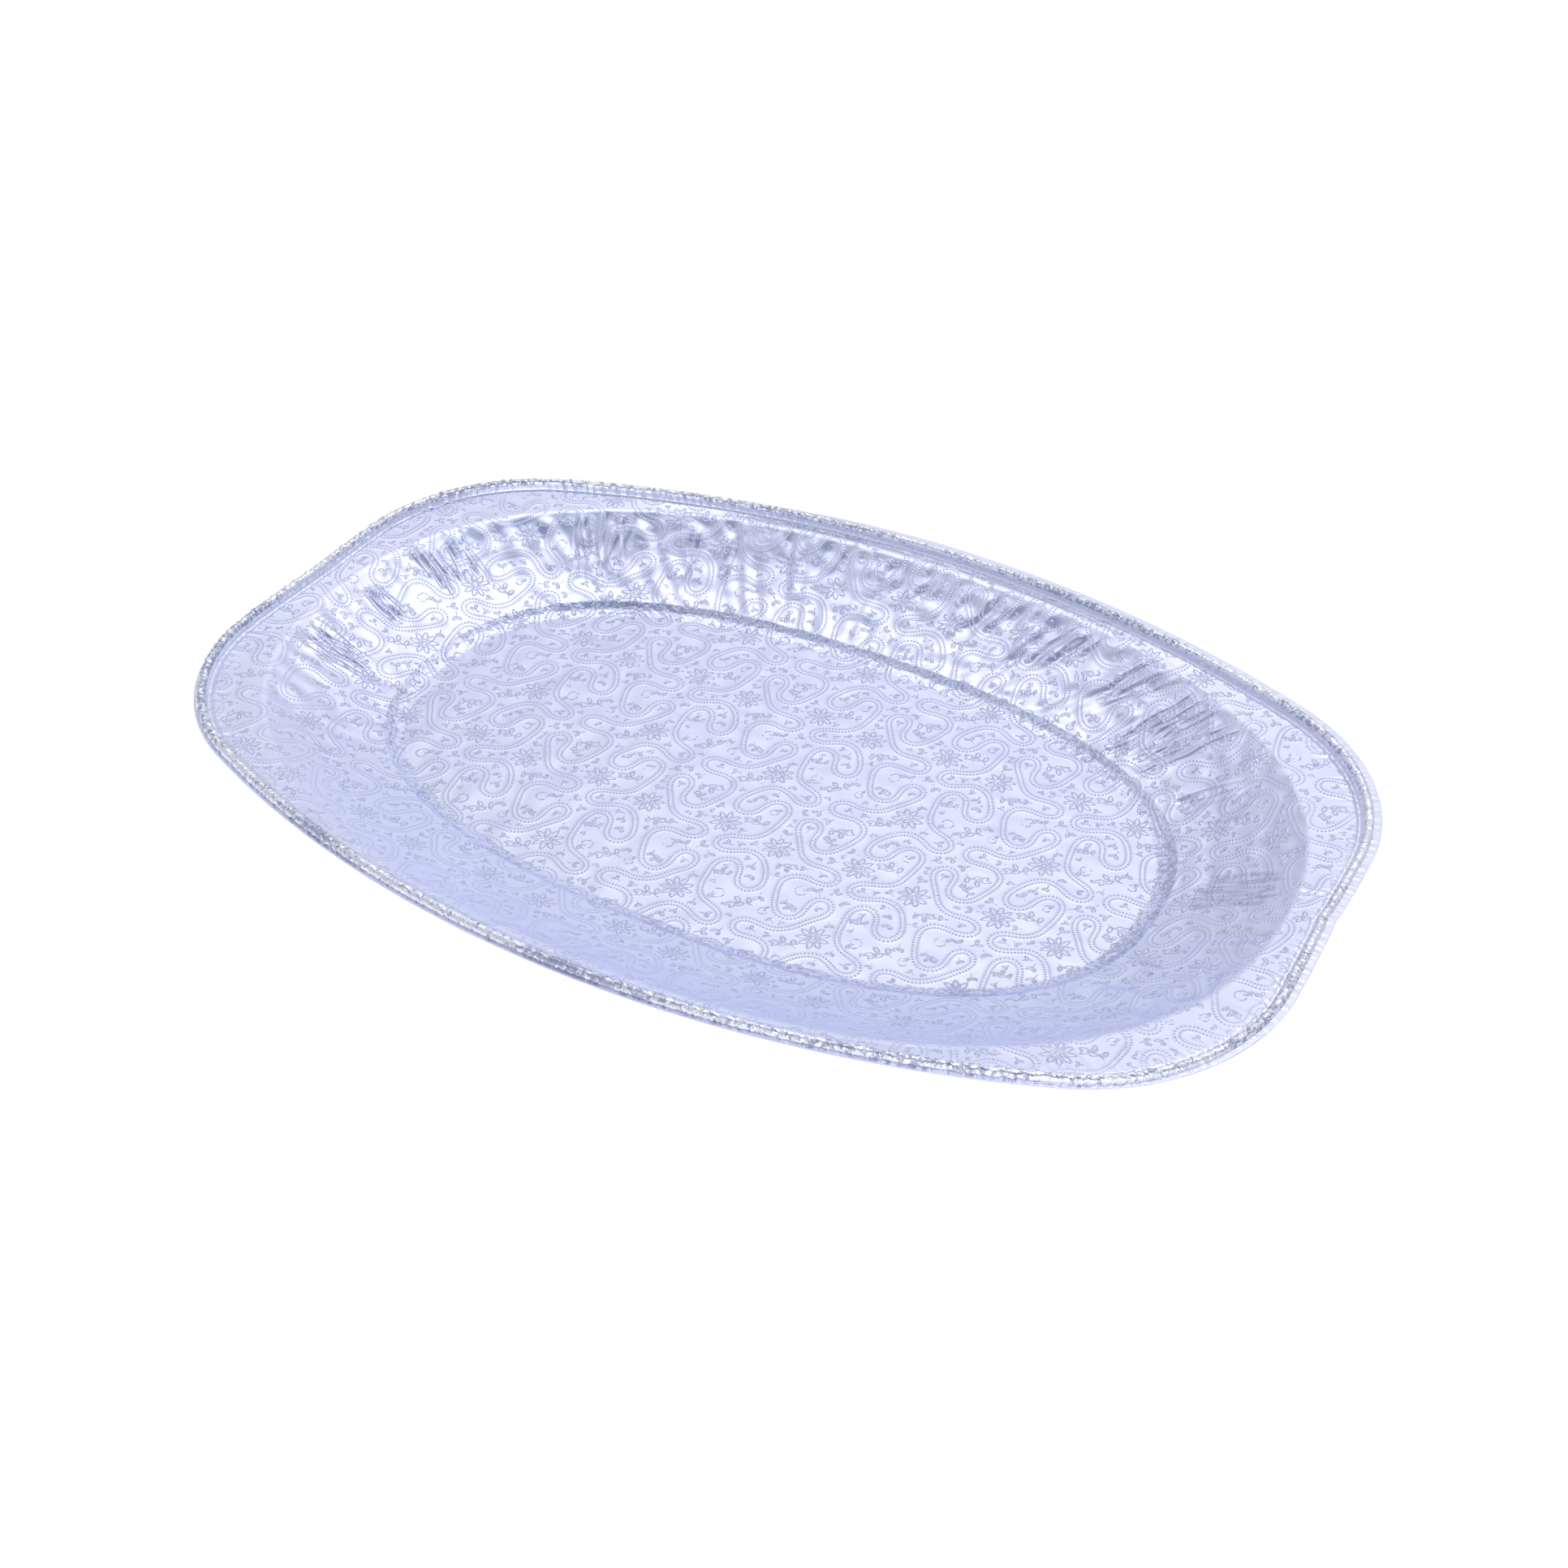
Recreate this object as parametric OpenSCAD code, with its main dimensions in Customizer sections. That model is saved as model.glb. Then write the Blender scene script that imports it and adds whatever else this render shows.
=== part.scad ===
// Oval foil serving tray, pressed from one sheet: a flat floor, a small step round it, a wide
// sloped wall, a flat rim and a curled edge. The sheet is split at its bend lines into zones.
// Each zone is a closed solid of the foil's own thickness, and meets its neighbours face to face.
// Origin: centre of the floor's underside. +X is the long way, +Z is up. All sizes in mm.

/* [Overall] */
// Length over the edge
tray_l = 430; // [350:1:520]
// Width over the edge
tray_w = 297; // [245:1:360]
// Height from the floor's underside to the top of the curl
tray_h = 26.5; // [20:0.5:36]
// Thickness of the foil
foil_t = 0.1; // [0.08:0.01:0.2]

/* [Outline] */
// How far the middle of each long side bows out beyond its two ends
side_bow = 60; // [40:1:70]
// Radius of the four corners
corner_r = 83; // [50:1:95]

/* [Edge] */
// Outside diameter of the hollow curl
curl_d = 3.6; // [2.8:0.1:4.4]
// Width of the flat lip outside the curl
lip_w = 1.8; // [1.4:0.1:2.4]
// Height of the folded lip
lip_h = 0.5; // [0.4:0.05:0.7]
// Width of the groove inside the curl
groove_w = 2.2; // [1.6:0.1:3]
// Depth of the groove below the rim
groove_d = 0.5; // [0.2:0.05:1]

/* [Rim] */
// Width of the flat rim at the two ends
flange_end_w = 6.9; // [4:0.1:15]
// Width of the flat rim at the middle of the long sides
flange_side_w = 1.9; // [1.4:0.1:12]
// Depth of the well's edge below the top of the curl
rim_drop = 4.6; // [4.4:0.1:7]
// Width of the rounded shoulder between rim and wall
shoulder_w = 3; // [2:0.1:4]

/* [Wall] */
// How far the wall runs inwards
wall_run = 43.5; // [30:0.5:55]
// How far the middle of the wall hangs below a straight slope
wall_sag = 1.5; // [0:0.1:3]
// Squareness of the well's oval, where 2 is an ellipse
well_n = 2.27; // [2:0.01:2.4]

/* [Floor] */
// Squareness of the floor's oval, where 2 is an ellipse
floor_n = 2.4; // [2:0.01:3]
// Height of the step round the floor
step_h = 3; // [1.5:0.1:5]
// How far the step runs inwards
step_run = 7; // [4:0.5:10]

/* [Hidden] */

full_turn = 360;
// Sections round the tray, and straight pieces across each zone
stations = 96;
step_segs = 5;
wall_segs = 6;
shoulder_segs = 4;
flange_segs = 2;
groove_segs = 4;
curl_segs = 7;

// Share of the step's run that its steep face takes
step_face = 0.55;
// The curl starts on its inner side, goes over the top and ends low on its outer side
curl_start = 180;
curl_end = -30;
curl_r = curl_d / 2;
curl_z = tray_h - curl_r;
curl_inset = lip_w + curl_r;

// Radius of the arc that gives a long side its bow
side_r = (pow(tray_l / 2, 2) + pow(side_bow, 2)) / (2 * side_bow);

// Insets from the outer edge, and the levels of the sheet's upper face
groove_inset = lip_w + curl_d;
flange_inset = groove_inset + groove_w;
flange_z = tray_h - curl_d;
// Level of the groove's guide point, which puts its lowest point groove_d below the rim
groove_guide_z = flange_z - groove_d - sqrt(groove_d * (groove_d + curl_r));
well_z = tray_h - rim_drop;
step_z = foil_t + step_h;
lip_z = curl_z + curl_r * sin(curl_end);

// Half lengths and half widths of the ovals
well_inset = flange_inset + shoulder_w / 2;
well_a = tray_l / 2 - well_inset - flange_end_w;
well_b = tray_w / 2 - well_inset - flange_side_w;
step_a = well_a - wall_run;
step_b = well_b - wall_run;
floor_a = step_a - step_run;
floor_b = step_b - step_run;

// Number of each zone's first point along the profile
wall_i = step_segs;
shoulder_i = wall_i + wall_segs;
flange_i = shoulder_i + shoulder_segs;
groove_i = flange_i + flange_segs;
curl_i = groove_i + groove_segs;
lip_i = curl_i + curl_segs;

// ---- Plan curves, as distances from the centre along the direction a ----

// Outline of end lines, corner arcs and side arcs, moved in by inset
function outline_r(a, inset) =
    let (c = abs(cos(a)), s = abs(sin(a)),
         half_l = tray_l / 2 - inset,
         big_r = side_r - inset,
         small_r = corner_r - inset,
         side_y = tray_w / 2 - side_r,
         corner_x = half_l - small_r,
         corner_y = side_y + sqrt(pow(big_r - small_r, 2) - pow(corner_x, 2)),
         reach = big_r / (big_r - small_r),
         line_a = atan2(corner_y, half_l),
         arc_a = atan2(side_y + reach * (corner_y - side_y), reach * corner_x),
         turn = atan2(s, c),
         along = c * corner_x + s * corner_y,
         apart = pow(corner_x, 2) + pow(corner_y, 2) - pow(small_r, 2))
    turn < line_a ? half_l / c
    : turn > arc_a ? s * side_y + sqrt(pow(s * side_y, 2) - pow(side_y, 2) + pow(big_r, 2))
    : along + sqrt(pow(along, 2) - apart);

// Oval between an ellipse and a rectangle
function oval_r(a, half_l, half_w, n) =
    pow(pow(abs(cos(a)) / half_l, n) + pow(abs(sin(a)) / half_w, n), -1 / n);

function floor_r(a) = oval_r(a, floor_a, floor_b, floor_n);
function step_r(a) = oval_r(a, step_a, step_b, floor_n);
function well_r(a) = oval_r(a, well_a, well_b, well_n);

// ---- Profile of the sheet's upper face along the direction a, as [distance, height] ----

function mix(p, q, f) = p + (q - p) * f;
function bend(p, q, r, f) = mix(mix(p, q, f), mix(q, r, f), f);

// A point on the wall, where f goes from 0 at the step to 1 at the well's edge.
// The wall hangs in a parabola, deepest at its middle.
function wall_point(a, f) =
    [mix(step_r(a), well_r(a), f), mix(step_z, well_z, f) - wall_sag * 4 * f * (1 - f)];

function wall_top(a) = 1 - shoulder_w / 2 / (well_r(a) - step_r(a));
function flange_point(a, f) =
    mix([well_r(a) + shoulder_w / 2, well_z], [outline_r(a, flange_inset), flange_z], f);
function curl_point(a, turn) =
    [outline_r(a, curl_inset - curl_r * cos(turn)), curl_z + curl_r * sin(turn)];

function step_points(a) =
    [for (i = [0 : step_segs - 1])
        bend([floor_r(a), foil_t],
             [mix(step_r(a), floor_r(a), step_face), foil_t],
             [step_r(a), step_z], i / step_segs)];

function wall_points(a) =
    [for (i = [0 : wall_segs - 1]) wall_point(a, wall_top(a) * i / wall_segs)];

function shoulder_points(a) =
    [for (i = [0 : shoulder_segs - 1])
        bend(wall_point(a, wall_top(a)), [well_r(a), well_z], flange_point(a, 0),
             i / shoulder_segs)];

function flange_points(a) =
    [for (i = [0 : flange_segs - 1]) flange_point(a, i / flange_segs)];

function groove_points(a) =
    [for (i = [0 : groove_segs - 1])
        let (f = i / groove_segs)
        bend([outline_r(a, flange_inset), flange_z],
             [outline_r(a, groove_inset), groove_guide_z],
             curl_point(a, curl_start), f)];

function curl_points(a) =
    [for (i = [0 : curl_segs - 1])
        curl_point(a, mix(curl_start, curl_end, i / curl_segs))];

// The lip runs out flat, folds under itself and comes back below the curl
function lip_points(a) =
    [[outline_r(a, lip_w + curl_r * (1 - cos(curl_end))), lip_z],
     [outline_r(a, lip_h / 2), lip_z],
     [outline_r(a, 0), lip_z - lip_h / 2],
     [outline_r(a, lip_h / 2), lip_z - lip_h],
     [outline_r(a, lip_w), lip_z - lip_h],
     [outline_r(a, curl_inset), curl_z - curl_r]];

function profile(a) =
    concat(step_points(a), wall_points(a), shoulder_points(a), flange_points(a),
           groove_points(a), curl_points(a), lip_points(a));

// ---- The foil: the upper face and a lower face foil_t away from it ----

function direction(p, q) = (q - p) / norm(q - p);

// Unit vector from the upper face into the foil at point i, square to the sheet
function inward(points, i) =
    let (last = len(points) - 1,
         before = i == 0 ? [1, 0] : direction(points[i - 1], points[i]),
         after = i == 0 ? [1, 0] : i == last ? before : direction(points[i], points[i + 1]),
         along = (before + after) / norm(before + after))
    [along[1], -along[0]];

// Closed outline of one zone's section: along the upper face and back along the lower one
function section(points, first, last) =
    concat([for (i = [first : last]) points[i]],
           [for (i = [last : -1 : first]) points[i] + foil_t * inward(points, i)]);

function station_angle(k) =
    let (t = full_turn * k / stations) atan2(tray_w * sin(t), tray_l * cos(t));

// A ring of foil swept round the tray between two points of the profile
module foil_ring(first, last) {
    size = 2 * (last - first + 1);
    points = [for (k = [0 : stations - 1])
        let (a = station_angle(k))
        for (p = section(profile(a), first, last))
            [p[0] * cos(a), p[0] * sin(a), p[1]]];
    faces = [for (k = [0 : stations - 1], j = [0 : size - 1])
        let (next_k = (k + 1) % stations,
             next_j = (j + 1) % size,
             p = k * size + j,
             q = k * size + next_j,
             r = next_k * size + next_j,
             s = next_k * size + j)
        each [[p, r, q], [p, s, r]]];
    polyhedron(points, faces);
}

// ---- Zones ----

module base_panel() {
    color([0.82, 0.84, 0.94])
        linear_extrude(foil_t)
            polygon([for (k = [0 : stations - 1])
                let (a = station_angle(k)) floor_r(a) * [cos(a), sin(a)]]);
}

module base_step() {
    color([0.62, 0.65, 0.78]) foil_ring(0, wall_i);
}

module side_wall() {
    color([0.80, 0.83, 0.93]) foil_ring(wall_i, shoulder_i);
}

module wall_shoulder() {
    color([0.92, 0.93, 0.98]) foil_ring(shoulder_i, flange_i);
}

module rim_flange() {
    color([0.77, 0.79, 0.90]) foil_ring(flange_i, groove_i);
}

module rim_groove() {
    color([0.66, 0.70, 0.84]) foil_ring(groove_i, curl_i);
}

module rolled_edge() {
    color([0.86, 0.88, 0.95]) foil_ring(curl_i, lip_i);
}

module edge_lip() {
    color([0.80, 0.82, 0.94]) foil_ring(lip_i, len(profile(0)) - 1);
}

base_panel();
base_step();
side_wall();
wall_shoulder();
rim_flange();
rim_groove();
rolled_edge();
edge_lip();
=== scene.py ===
"""Oval foil serving tray: one thin embossed sheet in eight zones, with a curled edge."""

import functools
import math

import bpy
import numpy as np
from bpy.props import FloatProperty, FloatVectorProperty, IntProperty, PointerProperty
from mathutils import Matrix, Vector


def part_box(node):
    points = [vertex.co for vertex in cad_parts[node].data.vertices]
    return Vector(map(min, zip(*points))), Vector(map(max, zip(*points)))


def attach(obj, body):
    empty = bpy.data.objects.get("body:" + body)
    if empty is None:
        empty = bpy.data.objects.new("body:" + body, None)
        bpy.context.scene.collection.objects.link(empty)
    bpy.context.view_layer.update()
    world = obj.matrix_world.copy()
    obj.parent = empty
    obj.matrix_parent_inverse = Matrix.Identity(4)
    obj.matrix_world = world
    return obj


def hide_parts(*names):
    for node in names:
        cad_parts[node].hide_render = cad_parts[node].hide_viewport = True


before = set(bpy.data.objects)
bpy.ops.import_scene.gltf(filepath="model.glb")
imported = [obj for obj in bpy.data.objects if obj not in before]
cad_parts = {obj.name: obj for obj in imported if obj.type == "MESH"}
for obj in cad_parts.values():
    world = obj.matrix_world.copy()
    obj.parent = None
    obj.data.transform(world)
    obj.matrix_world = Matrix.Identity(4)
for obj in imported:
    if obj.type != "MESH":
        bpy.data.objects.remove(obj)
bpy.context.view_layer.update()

bl_info = {
    "name": "Foil Serving Tray",
    "version": (1, 0, 0),
    "blender": (4, 5, 0),
    "location": "3D View > Sidebar > Foil Tray",
    "description": "Presses an oval serving tray out of one embossed sheet of foil",
    "category": "Add Mesh",
}

MM = 0.001
FULL_TURN = 2 * math.pi
BODY = "root"

# ---- Sizes that come from the frame ----

FLOOR_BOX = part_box("base_panel")
STEP_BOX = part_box("base_step")
SHOULDER_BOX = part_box("wall_shoulder")
FLANGE_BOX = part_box("rim_flange")
GROOVE_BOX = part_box("rim_groove")
CURL_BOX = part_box("rolled_edge")
LIP_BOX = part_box("edge_lip")

HALF_LENGTH = LIP_BOX[1].x
HALF_WIDTH = LIP_BOX[1].y
RIM_TOP = CURL_BOX[1].z
FOIL = FLOOR_BOX[1].z
LIP_BOTTOM = LIP_BOX[0].z
STEP_TOP = STEP_BOX[1].z
FLANGE_TOP = FLANGE_BOX[1].z
CURL_WIDTH = RIM_TOP - FLANGE_TOP
GROOVE_WIDTH = GROOVE_BOX[1].x - FLANGE_BOX[1].x
LIP_WIDTH = HALF_LENGTH - GROOVE_BOX[1].x - CURL_WIDTH
WELL_TOP = FLANGE_BOX[0].z + FOIL

# ---- Mesh density ----

FLOOR_CELLS_LONG = 360
FLOOR_CELLS_WIDE = 276
ROWS = {
    "step": 15,
    "wall": 76,
    "shoulder": 6,
    "flange": 22,
    "groove": 8,
    "curl": 24,
    "lip": 14,
}


class TraySizes(bpy.types.PropertyGroup):
    """Shape of the sheet, beyond what the frame's boxes give."""

    side_bow: FloatProperty(
        name="Side bow", description="How far each long side bows out beyond its ends",
        default=60 * MM, unit="LENGTH")
    corner_radius: FloatProperty(
        name="Corner radius", description="Radius of the four corners",
        default=83 * MM, unit="LENGTH")
    shoulder: FloatProperty(
        name="Shoulder", description="Width of the rounded shoulder between wall and rim",
        default=3 * MM, unit="LENGTH")
    wall_sag: FloatProperty(
        name="Wall sag", description="How far the wall hangs below a straight slope",
        default=1.5 * MM, unit="LENGTH")
    groove_depth: FloatProperty(
        name="Groove depth", description="Depth of the groove inside the curl",
        default=0.5 * MM, unit="LENGTH")
    lip_height: FloatProperty(
        name="Lip height", description="Height of the folded lip outside the curl",
        default=0.5 * MM, unit="LENGTH")
    floor_squareness: FloatProperty(
        name="Floor squareness", description="Power of the floor's oval, 2 for an ellipse",
        default=2.4)
    well_squareness: FloatProperty(
        name="Well squareness", description="Power of the well's oval, 2 for an ellipse",
        default=2.27)
    step_knee: FloatProperty(
        name="Step knee", description="Share of the step's run taken by its shallow ramp",
        default=0.55, subtype="FACTOR")
    knee_height: FloatProperty(
        name="Knee height", description="Share of the step's height reached at the end of the ramp",
        default=0.38, subtype="FACTOR")
    open_end: FloatProperty(
        name="Open curl end", description="Where the curl ends in its least tightly rolled stretch",
        default=math.radians(28), subtype="ANGLE")
    step_fillet: FloatProperty(
        name="Step fillet", description="Half the share of the step's run taken by each fillet",
        default=0.07, subtype="FACTOR")
    curl_end: FloatProperty(
        name="Curl end", description="Where the curl ends, below its outer side",
        default=math.radians(-30), subtype="ANGLE")


class TrayEmboss(bpy.types.PropertyGroup):
    """The repeating pattern rolled into the foil before it is pressed."""

    repeat_long: FloatProperty(
        name="Repeat along", description="Repeat of the pattern along the tray",
        default=54.3 * MM, unit="LENGTH")
    repeat_wide: FloatProperty(
        name="Repeat across", description="Repeat of the pattern across the tray",
        default=75.3 * MM, unit="LENGTH")
    turn: FloatProperty(
        name="Turn", description="How far the pattern is turned from the tray's axes",
        default=math.radians(-0.9), subtype="ANGLE")
    relief: FloatProperty(
        name="Relief", description="Height of the raised ribbons and leaves",
        default=0.09 * MM, unit="LENGTH")
    seed: IntProperty(
        name="Seed", description="Another number turns the sprigs another way", default=11)


class TrayFolds(bpy.types.PropertyGroup):
    """How much the sheet has wrinkled as it was pressed and handled."""

    fold_depth: FloatProperty(
        name="Fold depth", description="Depth of the pinched folds up the wall",
        default=0.42 * MM, unit="LENGTH")
    flute_depth: FloatProperty(
        name="Flute depth", description="Depth of the soft waves round the wall",
        default=0.16 * MM, unit="LENGTH")
    dent_depth: FloatProperty(
        name="Dent depth", description="Depth of the soft dents all over",
        default=0.05 * MM, unit="LENGTH")
    buckle_depth: FloatProperty(
        name="Buckle depth", description="Depth of the shallow buckles in the wall",
        default=0.14 * MM, unit="LENGTH")
    curl_wrinkle: FloatProperty(
        name="Curl wrinkle", description="Depth of the wrinkles crushed into the curl",
        default=0.17 * MM, unit="LENGTH")
    seed: IntProperty(name="Seed", description="Another number moves the small folds", default=5)


class TrayFinish(bpy.types.PropertyGroup):
    """Colour and surface of the foil, with the painted shade of its folds and of its marks."""

    tint: FloatVectorProperty(
        name="Tint", description="Colour of the foil", default=(0.745, 0.78, 0.99),
        subtype="COLOR", min=0, max=1)
    # Painted shade: the colour that the folds and the pattern's marks are darkened towards, which
    # the specks take too
    shade_and_speck_colour: FloatVectorProperty(
        name="Shade and speck colour", description="Colour in the folds", default=(0.26, 0.29, 0.47),
        subtype="COLOR", min=0, max=1)
    roughness: FloatProperty(
        name="Roughness", description="Roughness of the open foil", default=0.29, subtype="FACTOR")
    # Painted shade: how far the colour of the beads, borders, leaf outlines and stems goes towards
    # the shade colour
    mark_shade: FloatProperty(
        name="Mark shade", description="How far the tops of the marks are darkened",
        default=0.2, subtype="FACTOR")
    crease_depth: FloatProperty(
        name="Crease depth", description="Depth of the fine creases in the folds",
        default=0.18 * MM, unit="LENGTH")
    mark_depth: FloatProperty(
        name="Mark depth", description="Depth of the beads and outlines in the pattern",
        default=0.20 * MM, unit="LENGTH")


class TrayStage(bpy.types.PropertyGroup):
    """Floor, light and camera."""

    camera_turn: FloatProperty(
        name="Camera turn", description="Angle round the tray from its long side",
        default=math.radians(28.13), subtype="ANGLE")
    camera_rise: FloatProperty(
        name="Camera rise", description="Angle above the table",
        default=math.radians(37.74), subtype="ANGLE")
    camera_roll: FloatProperty(
        name="Camera roll", description="Tilt of the camera about its own axis",
        default=math.radians(1.6), subtype="ANGLE")
    camera_distance: FloatProperty(
        name="Camera distance", description="Distance from the tray's middle",
        default=807.3 * MM, unit="LENGTH")
    lens: FloatProperty(
        name="Lens", description="Focal length on a 36 mm sensor", default=50.3)
    floor_grey: FloatProperty(
        name="Floor", description="How bright the floor is in reflections", default=1.05)
    sky_strength: FloatProperty(
        name="Light", description="Strength of the soft light all round", default=1.0)


# ---- Plan curves, as distances from the centre along each direction ----

def outline_reach(angle, inset, sizes):
    """Outline of end lines, corner arcs and side arcs, moved in by inset."""
    c, s = np.abs(np.cos(angle)), np.abs(np.sin(angle))
    bow = sizes.side_bow
    side_radius = (HALF_LENGTH ** 2 + bow ** 2) / (2 * bow)
    half_long = HALF_LENGTH - inset
    side = side_radius - inset
    corner = sizes.corner_radius - inset
    side_y = HALF_WIDTH - side_radius
    corner_x = HALF_LENGTH - sizes.corner_radius
    corner_y = side_y + math.sqrt((side_radius - sizes.corner_radius) ** 2 - corner_x ** 2)
    reach = side / (side - corner)
    line_end = np.arctan2(corner_y, half_long)
    arc_end = np.arctan2(side_y + reach * (corner_y - side_y), reach * corner_x)
    turn = np.arctan2(s, c)
    along = c * corner_x + s * corner_y
    apart = corner_x ** 2 + corner_y ** 2 - corner ** 2
    on_corner = along + np.sqrt(np.maximum(along ** 2 - apart, 0))
    on_side = s * side_y + np.sqrt((s * side_y) ** 2 - side_y ** 2 + side ** 2)
    on_end = half_long / np.maximum(c, 1e-6)
    return np.where(turn < line_end, on_end, np.where(turn > arc_end, on_side, on_corner))


def oval_reach(angle, half_long, half_wide, squareness):
    """Oval between an ellipse and a rectangle."""
    long_share = (np.abs(np.cos(angle)) / half_long) ** squareness
    wide_share = (np.abs(np.sin(angle)) / half_wide) ** squareness
    return (long_share + wide_share) ** (-1 / squareness)


def mix(low, high, share):
    return low + (high - low) * share


def smooth(edge_off, edge_on, value):
    """0 at edge_off, 1 at edge_on, and a soft change between."""
    share = np.clip((value - edge_off) / (edge_on - edge_off), 0, 1)
    return share * share * (3 - 2 * share)


def filleted(past, soft):
    """How far past a corner, 0 before it, with the corner rounded over soft on both sides."""
    return (past + soft) ** 2 / (4 * soft) if abs(past) < soft else max(past, 0)


def bend(start, guide, end, share):
    """A point on the curve from start to end that leans towards guide, each as (reach, height)."""
    return tuple(
        mix(mix(a, b, share), mix(b, c, share), share) for a, b, c in zip(start, guide, end)
    )


# ---- The sheet: a floor grid, then rows of points out to the folded lip ----

def floor_grid(sizes):
    """Points of the floor as (x, y), on a grid square in the middle and oval at its edge."""
    stretch_long = math.sqrt(2) * np.sin(np.linspace(-1, 1, FLOOR_CELLS_LONG + 1) * math.pi / 4)
    stretch_wide = math.sqrt(2) * np.sin(np.linspace(-1, 1, FLOOR_CELLS_WIDE + 1) * math.pi / 4)
    u, v = np.meshgrid(stretch_long, stretch_wide, indexing="ij")
    x = u * np.sqrt(1 - v * v / 2)
    y = v * np.sqrt(1 - u * u / 2)
    spread = np.hypot(x, y)
    angle = np.arctan2(FLOOR_BOX[1].y * y, FLOOR_BOX[1].x * x)
    reach = spread * oval_reach(angle, FLOOR_BOX[1].x, FLOOR_BOX[1].y, sizes.floor_squareness)
    return reach * np.cos(angle), reach * np.sin(angle)


def grid_edge():
    """Numbers of the grid's edge points, anticlockwise from the corner at +x and -y."""
    index = np.arange((FLOOR_CELLS_LONG + 1) * (FLOOR_CELLS_WIDE + 1))
    index = index.reshape(FLOOR_CELLS_LONG + 1, FLOOR_CELLS_WIDE + 1)
    sides = index[-1, :-1], index[::-1, -1][:-1], index[0, ::-1][:-1], index[:-1, 0]
    return np.concatenate(sides)


# The edge was trimmed and rolled unevenly. For the lip's growth and for the curl's opening: the
# direction of the most, in degrees, and the cosines of the turn from it at which the change sets
# in and is whole
WIDE_LIP = (50, -0.35, 0.8)
OPEN_CURL = (48, -0.1, 0.75)
# What the trimming adds to the lip where it is narrowest and widest, in millimetres
LIP_GROWTH = (-0.7, 0.9)
# Shares of the lip's rows at which its fold starts and ends
FOLD_START = 0.4
FOLD_END = 0.7


def round_about(angle, place):
    """1 round a place on the edge, 0 away from it, and a soft change between."""
    degrees, cosine_off, cosine_on = place
    return smooth(cosine_off, cosine_on, np.cos(angle - math.radians(degrees)))


def lip_growth(angle):
    """What the trimming adds to the lip's width: most round the far right corner."""
    return mix(*LIP_GROWTH, round_about(angle, WIDE_LIP)) * MM


def curl_finish(angle, sizes):
    """Where the curl ends, in radians: it is rolled less tightly round the far right corner."""
    return mix(sizes.curl_end, sizes.open_end, round_about(angle, OPEN_CURL))


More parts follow.
